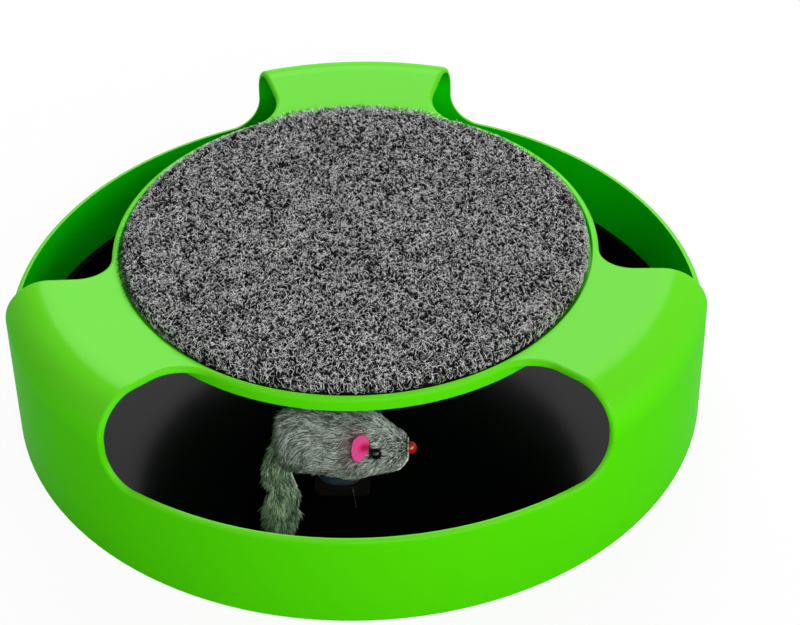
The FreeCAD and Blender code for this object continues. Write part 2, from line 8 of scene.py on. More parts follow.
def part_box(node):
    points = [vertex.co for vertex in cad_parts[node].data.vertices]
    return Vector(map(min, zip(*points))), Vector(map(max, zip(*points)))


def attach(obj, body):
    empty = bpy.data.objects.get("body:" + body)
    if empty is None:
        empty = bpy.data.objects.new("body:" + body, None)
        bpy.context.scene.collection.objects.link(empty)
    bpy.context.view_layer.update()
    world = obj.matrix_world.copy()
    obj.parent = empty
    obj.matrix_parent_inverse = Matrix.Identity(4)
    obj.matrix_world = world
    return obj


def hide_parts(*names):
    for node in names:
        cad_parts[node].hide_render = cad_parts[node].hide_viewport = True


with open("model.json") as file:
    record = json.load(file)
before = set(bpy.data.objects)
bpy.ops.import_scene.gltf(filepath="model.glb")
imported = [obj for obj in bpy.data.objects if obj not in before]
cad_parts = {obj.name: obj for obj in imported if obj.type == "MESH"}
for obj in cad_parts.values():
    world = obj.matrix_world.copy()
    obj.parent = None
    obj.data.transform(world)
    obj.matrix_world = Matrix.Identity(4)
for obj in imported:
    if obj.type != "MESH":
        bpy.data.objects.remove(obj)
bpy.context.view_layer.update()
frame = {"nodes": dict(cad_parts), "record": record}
mm = 0.001


# the camera stands where the photograph was taken from, in metres and degrees
view = {
    "distance": 0.8119,     # from the aim point
    "aimHeight": 0.0315,
    "elevation": 38.26,
    "azimuth": 270.83,      # of the camera, seen from above
    "roll": 1.66,
    "focal": 2236.5,        # pixels, in a picture 800 wide
    "centreX": 356.95,      # pixel that the camera's axis meets
    "centreY": 312.54,
    "width": 800,
    "height": 625,
}


def makeCamera(v):
    e = math.radians(v["elevation"])
    a = math.radians(v["azimuth"])
    r = math.radians(v["roll"])
    out = Vector((math.cos(a) * math.cos(e), math.sin(a) * math.cos(e), math.sin(e)))
    side = Vector((-math.sin(a), math.cos(a), 0))
    rise = out.cross(side)
    right = side * math.cos(r) - rise * math.sin(r)
    above = side * math.sin(r) + rise * math.cos(r)
    place = Matrix((right, above, out)).transposed().to_4x4()
    place.translation = Vector((0, 0, v["aimHeight"])) + out * v["distance"]
    data = bpy.data.cameras.new("camera")
    data.sensor_width = 36
    data.lens = v["focal"] * data.sensor_width / v["width"]
    data.shift_x = (v["width"] / 2 - v["centreX"]) / v["width"]
    data.shift_y = (v["centreY"] - v["height"] / 2) / v["width"]
    data.clip_start = 0.01
    camera = bpy.data.objects.new("camera", data)
    camera.matrix_world = place
    bpy.context.scene.collection.objects.link(camera)
    bpy.context.scene.camera = camera


makeCamera(view)
bpy.context.scene.view_settings.view_transform = "Standard"
print("camera placed")


# an output socket of a material: +, * and ** on it add Math nodes
class Wire:
    def __init__(self, finish, socket):
        self.finish = finish
        self.socket = socket

    def maths(self, operation, first, second):
        return self.finish.node("ShaderNodeMath", {"operation": operation}, {0: first, 1: second})

    def __add__(self, other):
        return self.maths("ADD", self, other)

    def __radd__(self, other):
        return self.maths("ADD", other, self)

    def __mul__(self, other):
        return self.maths("MULTIPLY", self, other)

    def __pow__(self, other):
        return self.maths("POWER", self, other)


# a material built from nodes around one Principled shader
class Finish:
    def __init__(self, name, flat=None):
        self.mat = bpy.data.materials.new(name)
        self.mat.use_nodes = True
        self.tree = self.mat.node_tree
        self.tree.nodes.clear()
        self.shader = self.tree.nodes.new("ShaderNodeBsdfPrincipled")
        self.out = self.tree.nodes.new("ShaderNodeOutputMaterial")
        self.tree.links.new(self.shader.outputs[0], self.out.inputs[0])
        for key, value in (flat or {}).items():
            self.feed(self.shader, key, value)

    def feed(self, node, key, value):
        socket = node.inputs[key]
        if isinstance(value, Wire):
            self.tree.links.new(value.socket, socket)
            return
        opaque = hasattr(value, "__len__") and len(value) == 3 and len(socket.default_value) == 4
        socket.default_value = (*value, 1.0) if opaque else value

    def node(self, kind, settings=None, inputs=None, output=0):
        made = self.tree.nodes.new(kind)
        for key, value in (settings or {}).items():
            if key == "stops":
                for spot, (place, shade) in enumerate(value):
                    stops = made.color_ramp.elements
                    stop = stops[spot] if spot < 2 else stops.new(place)
                    stop.position = place
                    stop.color = (*shade, 1.0) if hasattr(shade, "__len__") else (shade, shade, shade, 1.0)
            else:
                setattr(made, key, value)
        for key, value in (inputs or {}).items():
            self.feed(made, key, value)
        return Wire(self, made.outputs[output])

    def give(self, **sockets):
        names = {"color": "Base Color", "roughness": "Roughness", "metallic": "Metallic",
                 "coat": "Coat Weight", "normal": "Normal"}
        for key, value in sockets.items():
            self.feed(self.shader, names[key], value)

    def place(self):
        return self.node("ShaderNodeTexCoord", output="Object")

    def noise(self, scale, detail=2.0, rough=0.5, at=None):
        return self.node("ShaderNodeTexNoise", {"noise_dimensions": "3D"},
                         {"Vector": at or self.place(), "Scale": scale, "Detail": detail, "Roughness": rough})

    def ramp(self, value, stops):
        return self.node("ShaderNodeValToRGB", {"stops": stops}, {0: value})

    def blend(self, low, high, share):
        return self.node("ShaderNodeMix", {"data_type": "RGBA"}, {0: share, 6: low, 7: high}, output=2)

    def reading(self, name):
        return self.node("ShaderNodeAttribute", {"attribute_name": name}, output=2)

    def bump(self, height, strength, distance):
        self.give(normal=self.node("ShaderNodeBump", {}, {"Height": height, "Strength": strength,
                                                         "Distance": distance}))


# smooth lattice noise from 0 to 1 over whole arrays: random values at the corners of square
# cells of a size, blended across each cell by the curve 3t^2 - 2t^3
def lattice(x, y, size, seed):
    cells = 64
    table = np.random.default_rng(seed).random((cells, cells))
    u, v = x / size, y / size
    i, j = np.floor(u).astype(int), np.floor(v).astype(int)
    s, t = u - i, v - j
    s, t = s * s * (3 - 2 * s), t * t * (3 - 2 * t)
    a, b, c, d = (table[(i + k) % cells, (j + m) % cells] for k, m in ((0, 0), (1, 0), (0, 1), (1, 1)))
    return (a * (1 - s) + b * s) * (1 - t) + (c * (1 - s) + d * s) * t


# value of a smooth curve through keys at places x: on each span the cubic whose slopes at the
# keys are those of the line between the neighbouring keys
def through(keys, x):
    k = np.array(keys, float)
    slopes = np.gradient(k[:, 1], k[:, 0])
    i = np.clip(np.searchsorted(k[:, 0], x) - 1, 0, len(k) - 2)
    h = k[i + 1, 0] - k[i, 0]
    t = np.clip((x - k[i, 0]) / h, 0, 1)
    return ((1 + 2 * t) * (1 - t) ** 2 * k[i, 1] + t * (1 - t) ** 2 * h * slopes[i]
            + t * t * (3 - 2 * t) * k[i + 1, 1] + t * t * (t - 1) * h * slopes[i + 1])


# directions of length 1
def unit(v):
    return v / np.maximum(np.linalg.norm(v, axis=-1, keepdims=True), 1e-12)


# mesh with its triangles turned to face outwards, its readings for the finish, and its place in the frame:
# the body that it rides on and the nodes that it replaces
def putMesh(name, points, triangles, finish, body, readings=None, replaces=()):
    a, b, c = (points[triangles[:, k]] for k in range(3))
    if np.einsum("ij,ij->i", a, np.cross(b, c)).sum() < 0:
        triangles = triangles[:, ::-1]
    mesh = bpy.data.meshes.new(name)
    mesh.vertices.add(len(points))
    mesh.vertices.foreach_set("co", np.ascontiguousarray(points, np.float32).ravel())
    mesh.loops.add(triangles.size)
    mesh.loops.foreach_set("vertex_index", np.ascontiguousarray(triangles, np.int32).ravel())
    mesh.polygons.add(len(triangles))
    mesh.polygons.foreach_set("loop_start", np.arange(0, triangles.size, 3, dtype=np.int32))
    mesh.polygons.foreach_set("use_smooth", np.ones(len(triangles), bool))
    for key, values in (readings or {}).items():
        mesh.attributes.new(key, "FLOAT", "POINT").data.foreach_set("value", values.astype(np.float32))
    mesh.update(calc_edges=True)
    mesh.validate()
    piece = bpy.data.objects.new(name, mesh)
    bpy.context.scene.collection.objects.link(piece)
    mesh.materials.append(finish.mat)
    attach(piece, body)
    if replaces:
        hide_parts(*replaces)


# triangles of a closed skin: rings of equal length joined row by row, and a fan to one pole
# point at each end, which follow the rings in the list of points
def skinTriangles(rows, cols):
    i, j = np.meshgrid(np.arange(rows - 1), np.arange(cols), indexing="ij")
    k = (j + 1) % cols
    a, b, c, d = i * cols + j, i * cols + k, (i + 1) * cols + k, (i + 1) * cols + j
    walls = np.concatenate([np.stack([a, b, c], -1).reshape(-1, 3), np.stack([a, c, d], -1).reshape(-1, 3)])
    j = np.arange(cols)
    k = (j + 1) % cols
    first = np.stack([k, j, np.full(cols, rows * cols)], -1)
    last = np.stack([j, k, np.full(cols, rows * cols + 1)], -1) + np.array([1, 1, 0]) * (rows - 1) * cols
    return np.concatenate([walls, first, last])


def closedSkin(name, rings, finish, body, readings=None, replaces=()):
    rows, cols = rings.shape[:2]
    points = np.concatenate([rings.reshape(-1, 3), rings[:1].mean(1), rings[-1:].mean(1)])
    putMesh(name, points, skinTriangles(rows, cols), finish, body, readings, replaces)


askew = np.array([[0.31, 0.77, 0.55]])      # rings round a line start square to this direction


# thin strands, each a closed three-sided spindle along its points: a corner point at each end and
# a ring of three corners round each point between, whose distance from it is the thickness
def strandMesh(name, path, thickness, readings, finish, body):
    count, stops = path.shape[:2]
    corners = [path[:, 0]]
    for k in range(1, stops - 1):
        along = unit(path[:, k + 1] - path[:, k - 1])
        across = unit(np.cross(along, unit(askew)))
        other = np.cross(along, across)
        for turn in (0, 2 * math.pi / 3, 4 * math.pi / 3):
            outwards = across * math.cos(turn) + other * math.sin(turn)
            corners.append(path[:, k] + outwards * thickness[:, k - 1, None])
    corners.append(path[:, -1])
    points = np.stack(corners, 1).reshape(-1, 3)
    last = 3 * stops - 5
    one = [(0, 2, 1), (0, 3, 2), (0, 1, 3)]
    one += [(last, last - 3, last - 2), (last, last - 2, last - 1), (last, last - 1, last - 3)]
    for base in range(1, last - 3, 3):
        for k in range(3):
            m = (k + 1) % 3
            one += [(base + k, base + m, base + 3 + m), (base + k, base + 3 + m, base + 3 + k)]
    triangles = (np.array(one)[None] + (last + 1) * np.arange(count)[:, None, None]).reshape(-1, 3)
    spread = {key: np.repeat(values, last + 1) for key, values in readings.items()}
    shares = np.concatenate([[0], np.repeat(np.arange(1, stops - 1), 3), [stops - 1]]) / (stops - 1)
    spread["along"] = np.tile(shares, count)
    putMesh(name, points, triangles, finish, body, spread)


# tube along a line of points: circles square to the line, their radius given at each point
def tubeSkin(name, line, radius, cols, finish, body):
    along = unit(np.gradient(line, axis=0))
    across = unit(np.cross(along, askew))
    other = np.cross(along, across)
    a = np.linspace(0, 2 * math.pi, cols, endpoint=False)
    ring = across[:, None] * np.cos(a)[None, :, None] + other[:, None] * np.sin(a)[None, :, None]
    closedSkin(name, line[:, None] + ring * radius[:, None, None], finish, body)


# the turning arm waits at an angle from the front, which the roller's place in the record gives
joints = {j["name"]: j for j in frame["record"]["behaviour"]["joints"]}
rollerX, rollerY = joints["roller_spin"]["pos_m"][:2]
restTurn = math.atan2(rollerY, rollerX) + math.pi / 2


# points given with the arm straight to the front, turned to where the arm waits
def onArm(points):
    c, s = math.cos(restTurn), math.sin(restTurn)
    return np.stack([points[..., 0] * c - points[..., 1] * s, points[..., 0] * s + points[..., 1] * c,
                     points[..., 2]], -1)


# finishes

# the moulding is polished where it faces up, and a painted highlight there makes it paler and yellower; it is
# satin on its walls, where painted light makes it paler near the top; and on its inside painted green bounce
# light makes it a purer, brighter green
def greenPlastic():
    f = Finish("green_plastic", {"IOR": 1.5, "Specular IOR Level": 0.004, "Coat IOR": 1.5,
                                 "Coat Roughness": 0.22})
    cloud = f.noise(7, 3, 0.5)
    grain = f.noise(700, 3, 0.6)
    facing = f.node("ShaderNodeNewGeometry", output=1)
    away = f.node("ShaderNodeVectorMath", {"operation": "DOT_PRODUCT"}, {0: facing, 1: f.place()}, output=1)
    facingUp = f.node("ShaderNodeSeparateXYZ", {}, {0: facing}, output=2)
    height = f.node("ShaderNodeSeparateXYZ", {}, {0: f.place()}, output=2)
    # painted green bounce light: faces turned towards the axis are coloured a purer, brighter green
    paintedBounceInside = f.ramp(away * 20 + 0.5, [(0.2, 1.0), (0.5, 0.0)])
    # painted highlight: faces turned up are coloured paler and yellower, and the same mask gives them the
    # coat
    coatAndPaintedHighlight = f.ramp(facingUp, [(0.15, 0.0), (0.8, 1.0)])
    # painted light: the walls are coloured paler towards the top
    paintedLightHigh = f.ramp(height * 15, [(0.72, 0.0), (0.9, 1.0)])
    wall = f.blend((0.065, 0.62, 0.001), (0.085, 0.67, 0.002), cloud)
    outer = f.blend(f.blend(wall, (0.1, 0.76, 0.004), paintedLightHigh), (0.12, 0.67, 0.011), coatAndPaintedHighlight)
    f.give(color=f.blend(outer, (0.003, 0.85, 0.003), paintedBounceInside), roughness=0.34 + cloud * 0.08 + grain * 0.04,
           coat=coatAndPaintedHighlight * 0.16)
    f.bump(f.noise(45, 2, 0.5) + grain * 0.1, 0.03, 0.0004)
    return f


def blackGloss():
    f = Finish("black_gloss", {"IOR": 1.5, "Specular IOR Level": 0.029})
    smear = f.noise(24, 4, 0.6)
    dust = f.ramp(f.noise(1400, 2, 0.7), [(0.0, 0.0), (0.79, 0.0), (0.83, 1.0)])
    f.give(color=f.blend((0.001, 0.002, 0.0015), (0.16, 0.16, 0.15), dust * 0.25),
           roughness=0.13 + smear * 0.1 + dust * 0.3)
    f.bump(f.noise(22, 2, 0.5), 0.05, 0.0006)
    return f


# a tone between two colours, a roughness and a relief, each from its own noise: the noise of the tone;
# the least roughness, what noise adds to it and its scale; the relief's noise, strength and depth
def mottled(name, flat, low, high, tone, rough, relief):
    f = Finish(name, {"IOR": 1.5, **flat})
    least, more, scale = rough
    f.give(color=f.blend(low, high, f.noise(*tone)), roughness=least + f.noise(scale, 2, 0.5) * more)
    f.bump(f.noise(*relief[:3]), *relief[3:])
    return f


def satinPlastic(name, low, high, rough, gloss=0.5):
    return mottled(name, {"IOR": 1.48, "Specular IOR Level": gloss}, low, high, (130, 4, 0.6),
                   (rough, 0.15, 400), (1600, 3, 0.6, 0.12, 0.0002))


def clearish(name, low, high, rough, passes):
    return mottled(name, {"Specular IOR Level": 0.3, "Transmission Weight": passes, "Coat Weight": 0.1,
                          "Coat Roughness": 0.05},
                   low, high, (150, 3, 0.5), (rough, 0.08, 300), (240, 2, 0.5, 0.1, 0.0003))


def bead(name, low, high, gloss):
    return mottled(name, {"Specular IOR Level": gloss, "Coat Weight": gloss * 0.5, "Coat Roughness": 0.03},
                   low, high, (420, 3, 0.5), (0.05, 0.05, 600), (350, 2, 0.5, 0.06, 0.0002))


def steel(name, low, high, rough):
    f = Finish(name)
    at = f.node("ShaderNodeMapping", {}, {0: f.place(), 3: (1.0, 1.0, 12.0)})
    grain = f.noise(700, 4, 0.6, at)
    f.give(color=f.blend(low, high, grain), metallic=1.0, roughness=rough + grain * 0.15)
    f.bump(grain, 0.08, 0.0002)
    return f


def pileFinish():
    f = Finish("carpet_pile", {"IOR": 1.45, "Specular IOR Level": 0.1})
    tone = f.ramp(f.reading("shade"), [(0.0, (0.003, 0.003, 0.003)), (0.47, (0.008, 0.008, 0.009)),
                                       (0.54, (0.38, 0.38, 0.382)), (0.62, (0.96, 0.96, 0.955)),
                                       (1.0, (0.99, 0.99, 0.98))])
    f.give(color=tone, roughness=0.75 + f.reading("along") * 0.1)
    f.bump(f.noise(2600, 3, 0.6), 0.3, 0.0002)
    return f


def backingFinish():
    f = Finish("carpet_backing", {"IOR": 1.45, "Specular IOR Level": 0.1})
    fleck = f.noise(900, 4, 0.7)
    f.give(color=f.ramp(fleck, [(0.3, (0.004, 0.004, 0.005)), (0.6, (0.015, 0.015, 0.016)),
                                (0.78, (0.09, 0.09, 0.09))]),
           roughness=0.85 + fleck * 0.1)
    f.bump(fleck, 0.8, 0.001)
    return f


# hairs go from dark roots to grey tips, the fewer pale ones stand out, and some near the ears take a painted
# dark pink shade from the ear
def furFinish(name, root, tip, light):
    f = Finish(name, {"IOR": 1.5, "Specular IOR Level": 0.15})
    shade = f.reading("shade")
    body = f.blend(root, tip, f.reading("along") ** 0.8 * (shade * 1.1 + 0.15))
    pale = f.blend(body, light, f.ramp(shade, [(0.38, 0.0), (0.8, 0.95)]))
    # painted shade: hairs near the ears are blended towards a dark pink
    f.give(color=f.blend(pale, (0.32, 0.02, 0.09), f.reading("dye")), roughness=0.55 + shade * 0.15)
    f.bump(f.noise(3000, 2, 0.5), 0.2, 0.0001)
    return f


def feltFinish():
    f = Finish("pink_felt", {"IOR": 1.45, "Specular IOR Level": 0.08, "Sheen Weight": 0.25,
                             "Sheen Roughness": 0.5, "Sheen Tint": (1.0, 0.4, 0.65, 1.0)})
    fuzz = f.ramp(f.noise(1500, 5, 0.75), [(0.3, 0.0), (0.7, 1.0)])
    # painted shade: the felt is coloured darker along the ear's crease
    deep = f.reading("fold")
    tone = f.blend((1.0, 0.02, 0.26), (1.0, 0.15, 0.48), fuzz)
    f.give(color=f.blend(tone, (0.62, 0.001, 0.08), deep), roughness=0.8 + fuzz * 0.15)
    f.bump(fuzz, 0.5, 0.0006)
    return f


finishes = {
    "green_plastic": greenPlastic(),
    "black_plastic": blackGloss(),
    "arm_plastic": satinPlastic("arm_plastic", (0.004, 0.004, 0.004), (0.009, 0.008, 0.007), 0.3, 0.1),
    "nylon": satinPlastic("nylon", (0.66, 0.65, 0.6), (0.78, 0.77, 0.72), 0.4),
    "adhesive": satinPlastic("adhesive", (0.5, 0.45, 0.32), (0.62, 0.57, 0.42), 0.5),
    "zinc_steel": steel("zinc_steel", (0.45, 0.46, 0.48), (0.62, 0.63, 0.64), 0.28),
    "bright_steel": steel("bright_steel", (0.5, 0.5, 0.5), (0.68, 0.68, 0.67), 0.16),
    "weight_steel": steel("weight_steel", (0.1, 0.1, 0.1), (0.2, 0.2, 0.2), 0.4),
    "foot_rubber": mottled("foot_rubber", {"Specular IOR Level": 0.3}, (0.018, 0.018, 0.018),
                           (0.05, 0.05, 0.048), (260, 4, 0.6), (0.7, 0.2, 500),
                           (1500, 3, 0.6, 0.25, 0.0003)),
    "blue_plastic": clearish("blue_plastic", (0.014, 0.045, 0.08), (0.025, 0.07, 0.12), 0.12, 0.2),
    "hot_glue": clearish("hot_glue", (0.12, 0.12, 0.11), (0.2, 0.2, 0.18), 0.25, 0.8),
    "black_bead": bead("black_bead", (0.002, 0.002, 0.002), (0.005, 0.004, 0.004), 0.3),
    "red_bead": bead("red_bead", (0.42, 0.01, 0.004), (0.64, 0.025, 0.007), 0.5),
}
for row in frame["record"]["subparts"]:
    if row["material_slot"] in finishes:
        mesh = frame["nodes"][row["node"]].data
        mesh.materials.clear()
        mesh.materials.append(finishes[row["material_slot"]].mat)
print("finishes on the CAD nodes")


# carpet pad: a dark felted disc and a tangle of curled fibres over its top and its rounded edge
carpet = {
    "rings": 90,
    "spokes": 420,
    "edgeRings": 15,        # over the rounded edge and down the side
    "edgeInset": 1.9 * mm,  # from the pad's outside to the felted disc
    "edgeRound": 1.6 * mm,
    "sideDepth": 1.4 * mm,  # that fibres reach down the side, under the rounding
    "felt": 0.5 * mm,       # the disc lies this much under the pad's top
    "lump": 0.3 * mm,
    "lumpSize": 3.4 * mm,
    "clumps": 5,
    "fibresPerClump": 16000,
    "length": (1.2 * mm, 3.1 * mm),
    "thickness": (0.075 * mm, 0.115 * mm),
    "lift": (0.05 * mm, 1.5 * mm),
    "liftJitter": 0.06 * mm,
    "needling": (57, 26),   # degrees to either side of the left-right line, and their spread
    "curl": 1.4,            # radians that a fibre turns along its length, at most
    "turnJitter": 0.3,
    "tone": 0.9,            # share of the tone that is random
    "blotch": 0.16,         # share that comes in patches
    "blotchSize": 4.5 * mm,
    "paintedDepthShade": 0.4,       # share by which upper fibres are paler than lower ones, a painted shade on the lower fibres
    "middleLayer": 0.45,
}
# thin fibres at the rim: plain ones all round, a flat dark patch that lies on the ring, and a longer
# tuft over the rear bridge; arch, rise and reaches are in millimetres
strays = {
    "count": 2600,
    "thickness": 0.07 * mm,
    "thicknessSpread": (0.7, 1.3),
    "inset": 0.8 * mm,      # of their roots from the edge of the disc
    "sink": 0.25 * mm,      # of their roots under the felt
    "arch": (0.2, 0.6),
    "rise": (-0.3, 1.5),    # of the tip over the root
    "bend": 0.02,           # radians round the pad from root to tip
    "bendJitter": 0.003,
    "plainReach": (0.4, 1.7),
    "tone": 0.95,
    "flatShare": 0.08,
    "flatAt": (192, 0.17),  # direction in degrees, and spread in radians
    "flatReach": (2.4, 4.8),
    "flatDrop": 1.25 * mm,  # of the tip, down to the ring
    "flatTone": 0.45,
    "tuftShare": 0.4,
    "tuftWidth": 0.4,       # radians to either side of the rear
    "tuftReach": (1.0, 4.4),
}


# radius of the disc and height of its top, the felt
def padSizes(c):
    low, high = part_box("scratch_carpet")
    return (high[0] - low[0]) / 2 - c["edgeInset"], high[2] - c["felt"]


# edge of the disc: a distance from the middle along the felt turns into a radius, a height over the
# top and a tilt outwards, which follow a quarter circle and then the upright side
def overEdge(far, radius, turn):
    tilt = np.clip((far - radius + turn) / turn, 0, math.pi / 2)
    side = np.maximum(far - radius + turn - turn * math.pi / 2, 0)
    return np.minimum(far, radius - turn) + turn * np.sin(tilt), turn * (np.cos(tilt) - 1) - side, tilt


# disc: rings run from the middle of the top to its edge and down the side, and the top is
# lifted by lattice noise
def makeCarpetDisc(c):
    radius, top = padSizes(c)
    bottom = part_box("scratch_carpet")[0][2]
    last = radius + c["edgeRound"] * (math.pi / 2 - 1) + (top - bottom) - c["edgeRound"]
    far = np.concatenate([np.linspace(0.01, 1, c["rings"]) * (radius - c["edgeRound"]),
                          np.linspace(radius - c["edgeRound"], last, c["edgeRings"] + 1)[1:]])
    r, drop, tilt = overEdge(far, radius, c["edgeRound"])
    a = np.linspace(0, 2 * math.pi, c["spokes"], endpoint=False)
    x, y = r[:, None] * np.cos(a), r[:, None] * np.sin(a)
    lift = (lattice(x, y, c["lumpSize"], 3) + 0.5 * lattice(x, y, c["lumpSize"] / 2, 4) - 0.9) * c["lump"]
    lift *= np.cos(tilt)[:, None]
    rings = np.stack([x, y, top + drop[:, None] + lift], -1)
    rings[-1, :, 2] = bottom
    closedSkin("carpet_disc", rings, backingFinish(), "housing", replaces=("scratch_carpet",))


# fibre: three steps of equal length whose heading starts near one of the two needling directions,
# turns steadily and jitters a little
def fibrePaths(rng, x, y, length, c):
    n, steps = len(x), 3
    lean = np.radians(np.where(rng.random(n) < 0.5, 1, -1) * rng.normal(*c["needling"], n))
    heading = lean[:, None] + (rng.uniform(-1, 1, n) * c["curl"])[:, None] * (np.arange(steps) - 1) / steps
    heading += rng.normal(0, c["turnJitter"], (n, steps))
    paths = []
    for middle, part in ((x, np.cos(heading)), (y, np.sin(heading))):
        way = np.concatenate([np.zeros((n, 1)), np.cumsum(part, 1)], 1) * length[:, None] / steps
        paths.append(middle[:, None] + way - way.mean(1, keepdims=True))
    return paths


# pile: fibres laid anywhere on the felt, their lift over it half a sine between their ends, then
# carried over the edge
def makeCarpetPile(c):
    radius, felt = padSizes(c)
    reach = radius + c["edgeRound"] * (math.pi / 2 - 1) + c["sideDepth"]
    finish = pileFinish()
    t = np.linspace(0.12, 0.88, 4)[None]
    for clump in range(c["clumps"]):
        rng = np.random.default_rng(100 + clump)
        n = c["fibresPerClump"]
        r, a = reach * np.sqrt(rng.random(n)), rng.random(n) * 2 * math.pi
        x, y = fibrePaths(rng, r * np.cos(a), r * np.sin(a), rng.uniform(*c["length"], n), c)
        layer = rng.random(n)
        lift = (c["lift"][0] + (c["lift"][1] - c["lift"][0]) * layer)[:, None] * np.sin(np.pi * t)
        lift += rng.normal(0, c["liftJitter"], (n, 4)) + (lattice(x, y, c["lumpSize"], 3) - 0.5) * c["lump"]
        far = np.minimum(np.hypot(x, y), reach)
        across, drop, tilt = overEdge(far, radius, c["edgeRound"])
        scale = (across + lift * np.sin(tilt)) / np.hypot(x, y)
        z = felt + drop + lift * np.cos(tilt)
        blotch = lattice(x[:, 2], y[:, 2], c["blotchSize"], 8) - 0.5
        # painted shade: lower fibres in the pile are coloured darker, upper ones paler
        shade = rng.random(n) * c["tone"] + blotch * c["blotch"] + (layer - c["middleLayer"]) * c["paintedDepthShade"]
        thick = rng.uniform(*c["thickness"], n)[:, None] * np.ones((1, 2))
        strandMesh("carpet_pile_" + str(clump + 1), np.stack([x * scale, y * scale, z], -1), thick,
                   {"shade": np.clip(shade, 0, 1)}, finish, "housing")


# frayed rim: fibres start on the rounded edge and run outwards and up, arched by half a sine; the
# flat ones come down to the ring instead
def makeCarpetStrays(c, s):
    radius, felt = padSizes(c)
    rng = np.random.default_rng(140)
    n = s["count"]
    pick = rng.random(n)
    flat, tuft = pick < s["flatShare"], pick > 1 - s["tuftShare"]
    a = np.where(flat, rng.normal(math.radians(s["flatAt"][0]), s["flatAt"][1], n),
                 rng.random(n) * 2 * math.pi)
    wide = rng.uniform(-s["tuftWidth"], s["tuftWidth"], n) * rng.random(n) ** 0.3
    a = np.where(tuft, math.pi / 2 + wide, a)
    t = np.linspace(0, 1, 5)[None]
    far, near, plain = (rng.uniform(*s[key], n) for key in ("tuftReach", "flatReach", "plainReach"))
    reach = np.where(tuft, far, np.where(flat, near, plain))[:, None] * mm
    rise = np.where(flat, 0, rng.uniform(*s["rise"], n))[:, None] * mm
    bend = rng.normal(0, s["bend"], n)[:, None]
    r = radius - s["inset"] + reach * t
    angle = a[:, None] + bend * t + rng.normal(0, s["bendJitter"], (n, 5))
    z = felt - s["sink"] + rise * t + rng.uniform(*s["arch"], n)[:, None] * mm * np.sin(np.pi * t)
    z -= flat[:, None] * s["flatDrop"] * t ** 1.5
    thick = np.full((n, 3), s["thickness"]) * rng.uniform(*s["thicknessSpread"], (n, 1))
    shade = np.where(flat, s["flatTone"], s["tone"]) * rng.random(n)
    strandMesh("carpet_strays", np.stack([r * np.cos(angle), r * np.sin(angle), z], -1), thick,
               {"shade": shade}, pileFinish(), "housing")


makeCarpetDisc(carpet)
makeCarpetPile(carpet)
makeCarpetStrays(carpet, strays)
print("carpet made")


# mouse: the body's sections from rump to muzzle, and the fur on them; places along the body, depths
# and lengths in the lists are in millimetres
mouse = {
    "orbit": 68 * mm,
    "axisRise": 12.5 * mm,  # of the body's axis above the arm
    "bellyRise": 0.7 * mm,  # of the hide above the arm, at least
    "sections": [(-24.6, 0.3, 2.6), (-24.2, 3.4, 2.6), (-23.4, 6.4, 2.6), (-22.0, 9.2, 2.5),
                 (-19.0, 10.6, 2.2), (-15.0, 11.2, 1.8), (-6.0, 11.8, 0.9), (4.0, 12.2, 0.2),
                 (11.0, 10.1, 0.4), (14.5, 8.4, -0.9), (17.0, 6.9, -1.9), (19.0, 5.1, -1.4),
                 (20.4, 2.4, -1.1), (20.9, 0.3, -1.1)],     # place, radius, lift above the axis
    "furDepth": [(-24, 1.3), (-20, 1.5), (-6, 1.7), (4, 1.6), (11, 1.3), (16, 0.9), (20, 0.4)],
    "furLength": [(-24, 4.4), (-20, 5.2), (-6, 4.8), (4, 4.4), (11, 3.4), (16, 2.4), (20, 1.1)],
    "rows": 90,
    "cols": 96,
    "swell": 0.03,  # share of the radius that noise adds to the hide
    "tufts": 2,
    "hairsPerTuft": 14500,
    "hairThickness": (0.075 * mm, 0.13 * mm),
    "lengthSpread": (0.65, 1.1),
    "loose": 0.15,  # how far hairs stray from the comb
    "furEnd": 19.7 * mm,  # no hair grows in front of this place
    "eyeGap": 0.55 * mm,  # between hairs and an eye
    "noseGap": 0.15 * mm,
    "armGap": 0.3 * mm,
    "girth": 9,  # radius at which the noise below is laid round the body
    "locks": [(1.3, 4.2 * mm, 22), (0.8, 1.7 * mm, 24)],  # turn, size and seed of noise on the comb
    "patches": (0.28, 2.2 * mm, 23),  # tone, size and seed
    "fallStart": 9,  # this far behind the middle hairs begin to hang over the rump
    "fallOver": 13,
    "fall": (0.6, 0.4, 1.5),  # there, less of the comb back and aside, and this much down
}
ear = {
    "x": 4.2 * mm,
    "angle": math.radians(34),  # above the horizontal, seen along the body
    "rise": 0.4 * mm,
    "flare": math.radians(24),
    "lean": math.radians(19),
    "width": 6.6 * mm,
    "height": 9.0 * mm,
    "widening": 0.34,  # of the upper half over the lower one
    "thickness": 1.1 * mm,
    "cup": 0.7 * mm,
    "cupFront": 0.6,  # share by which the front edge is cupped less, and the back more
    "crease": 0.7 * mm,
    "slant": 0.35,
    "valley": (0.5 * mm, 0.75 * mm, 1.6 * mm, 0.6),  # line, width, fade and level of the crease
    "shadow": (0.1 * mm, 1.5 * mm, 2.4 * mm, 0.5),  # the same of the painted shade in the crease
    "bareShare": 0.22,  # hairs keep out of this share of the ear's oval
    "bareDepth": (-0.6 * mm, 4 * mm),  # between these distances from its sheet
    "dye": (0.8, 0.2, 0.35),  # of the painted pink shade from the ear on the hairs: strength, where in the oval it is strongest, and its spread
    "rows": 26,
    "cols": 72,
}
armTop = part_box("core_glue")[0][2]


# radius of the body at a place along it
def bodyRadius(x):
    return through([row[:2] for row in mouse["sections"]], x / mm) * mm


# height of the middle of the body at a place along it
def bodyAxis(x):
    return armTop + mouse["axisRise"] + through([(row[0], row[2]) for row in mouse["sections"]], x / mm) * mm


